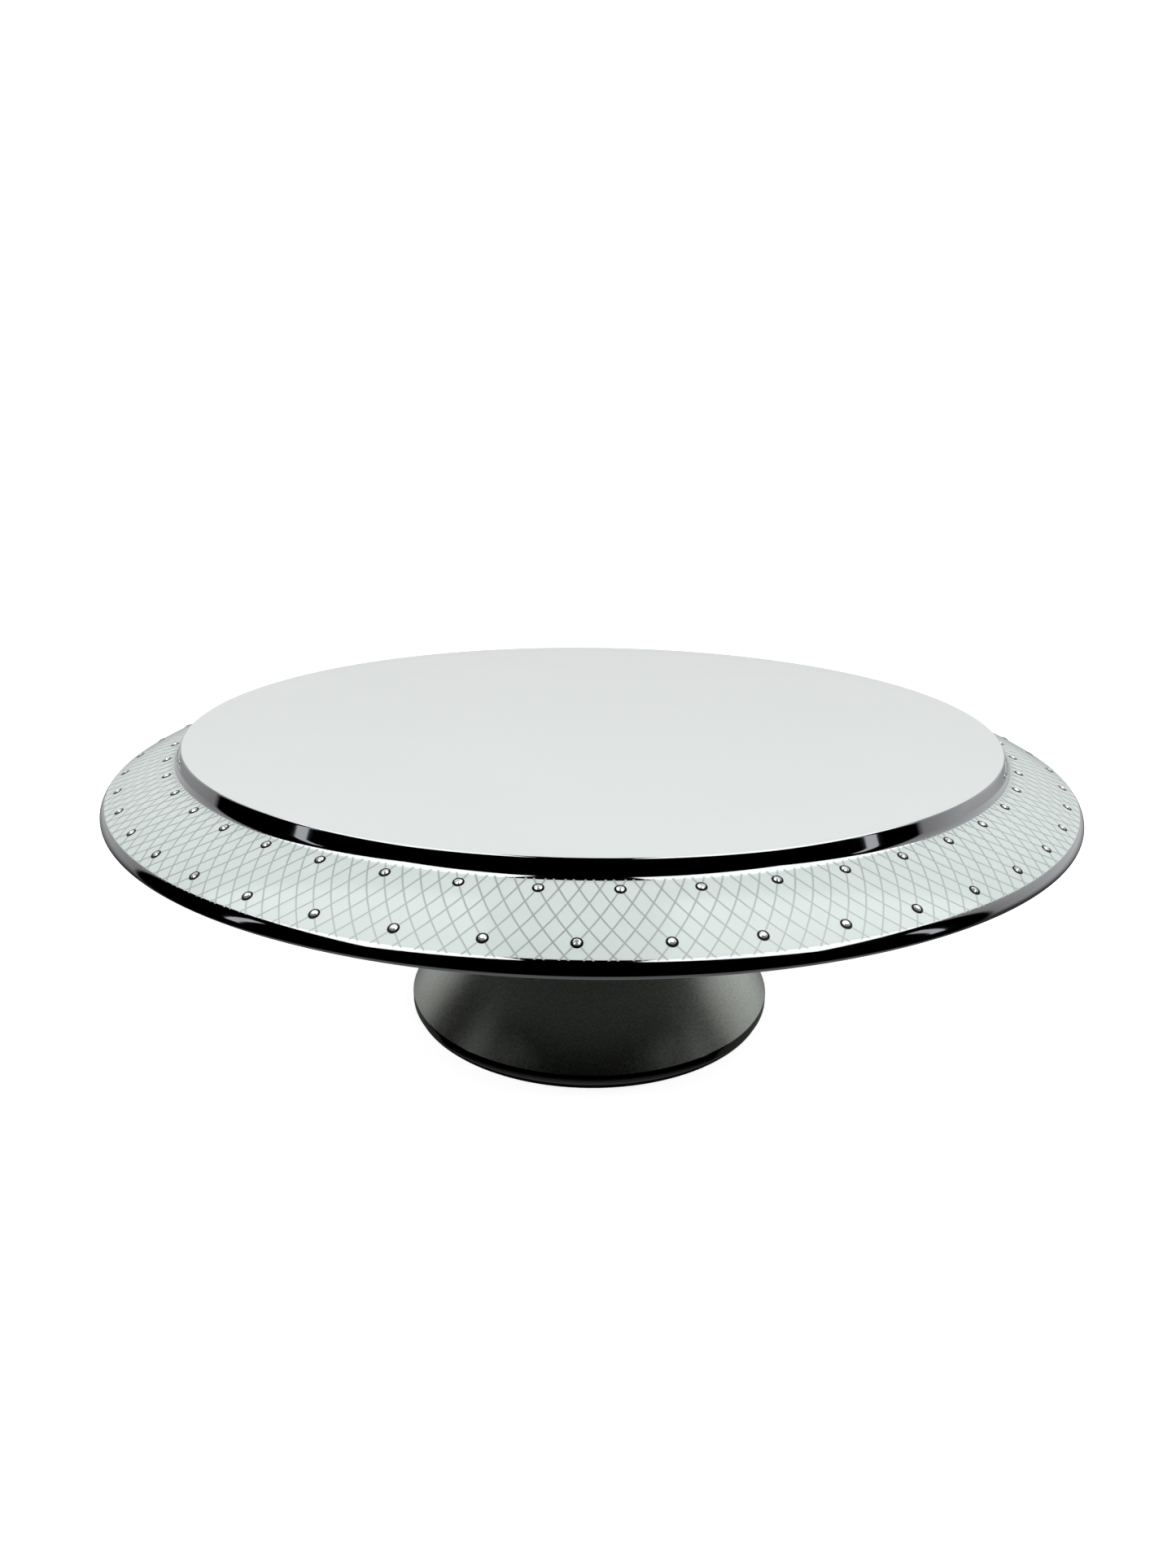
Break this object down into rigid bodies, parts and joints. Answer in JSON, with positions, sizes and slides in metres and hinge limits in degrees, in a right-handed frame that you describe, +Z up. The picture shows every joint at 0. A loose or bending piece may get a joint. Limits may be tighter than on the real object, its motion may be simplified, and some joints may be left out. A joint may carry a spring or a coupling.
{
  "type": "cake turntable",
  "caption": "Round porcelain cake plate with a raised middle and a sloped, edged rim, turning on a ball bearing in a flared satin steel foot.",
  "frame": {"origin": "on the table, on the axis of the foot", "axes": "+Z up along the axis the plate turns about; X and Y level. The object is round, so +X and +Y have no front of their own, and the picture was taken from -Y"},
  "size_m": [0.35, 0.35, 0.118],
  "materials": {
    "porcelain": "white glaze, with bands and a fine lattice of platinum lustre fired on it",
    "silicone": "cured bonding silicone, matt",
    "aluminium": "turned",
    "bearing_steel": "ground and polished hardened steel",
    "nylon": "moulded nylon, natural colour",
    "bronze": "sintered bronze",
    "zinc_steel": "bright zinc plated",
    "satin_steel": "spun, fine satin with a polished bottom edge",
    "cast_iron": "as cast, oiled",
    "black_rubber": "black, matt"
  },
  "bodies": {
    "base": {"lower_race": "bearing_steel", "bearing_housing": "aluminium", "upper_bush": "bronze", "lower_bush": "bronze", "foot": "satin_steel", "base_cover": "zinc_steel", "ballast": "cast_iron", "foot_ring": "black_rubber", "housing_screw_1": "zinc_steel", "housing_screw_2": "zinc_steel", "housing_screw_3": "zinc_steel", "housing_screw_4": "zinc_steel", "cover_screw_1": "zinc_steel", "cover_screw_2": "zinc_steel", "cover_screw_3": "zinc_steel", "ballast_screw_1": "zinc_steel", "ballast_screw_2": "zinc_steel", "ballast_screw_3": "zinc_steel"},
    "turntable": {"plate": "porcelain", "bond_ring": "silicone", "carrier": "aluminium", "upper_race": "bearing_steel", "spindle": "zinc_steel", "thrust_washer": "zinc_steel", "lock_nut": "zinc_steel"},
    "cage": {"ball_cage": "nylon", "ball_01": "bearing_steel", "ball_02": "bearing_steel", "ball_03": "bearing_steel", "ball_04": "bearing_steel", "ball_05": "bearing_steel", "ball_06": "bearing_steel", "ball_07": "bearing_steel", "ball_08": "bearing_steel", "ball_09": "bearing_steel", "ball_10": "bearing_steel", "ball_11": "bearing_steel", "ball_12": "bearing_steel"}
  },
  "joints": [
    {"name": "table_spin", "type": "hinge", "parent": "base", "child": "turntable", "pos_m": [0, 0, 0.118], "axis": [0, 0, 1], "continuous": true},
    {"name": "cage_spin", "type": "hinge", "parent": "base", "child": "cage", "pos_m": [0, 0, 0.0999], "axis": [0, 0, 1], "continuous": true}
  ],
  "couplings": [
    {"joint": "cage_spin", "follows": "table_spin", "ratio": 0.5}
  ]
}
